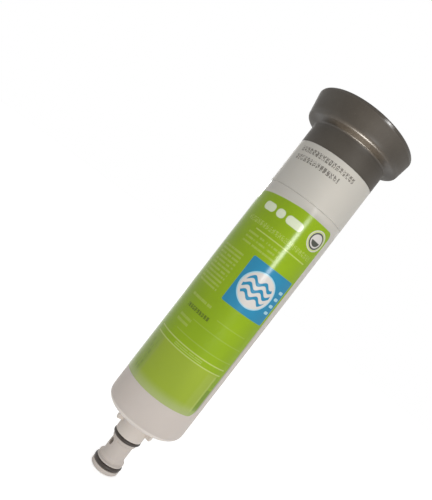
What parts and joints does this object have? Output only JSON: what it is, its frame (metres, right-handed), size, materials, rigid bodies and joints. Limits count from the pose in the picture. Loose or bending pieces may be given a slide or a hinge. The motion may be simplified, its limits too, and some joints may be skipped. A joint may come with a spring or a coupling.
{
  "type": "water purifier filter cartridge",
  "caption": "Sealed filter cartridge: a white tube with a plug-in spigot, seal rings and bayonet lugs below, a printed wrap label and a flared grey handle on top.",
  "frame": {"origin": "on the axis, in the seat face: the flat underside of the housing around the neck", "axes": "+Z along the axis towards the handle, the spigot points down along -Z, the label's front faces -Y"},
  "size_m": [0.0798, 0.0798, 0.2986],
  "materials": {
    "white_plastic": "satin moulded polypropylene",
    "handle_plastic": "fine-grained warm grey",
    "label_film": "printed gloss film",
    "seal_rubber": "satin",
    "carbon": "matt porous",
    "fibre": "melt-blown fibre",
    "element_plastic": "plain"
  },
  "bodies": {
    "root": {"housing": "white_plastic", "end_cap": "white_plastic", "handle": "handle_plastic", "label": "label_film", "spigot_seal_upper": "seal_rubber", "spigot_seal_lower": "seal_rubber", "carbon_block": "carbon", "sediment_sleeve": "fibre", "element_cap_lower": "element_plastic", "element_cap_upper": "element_plastic", "nipple_seal": "seal_rubber"}
  },
  "joints": []
}
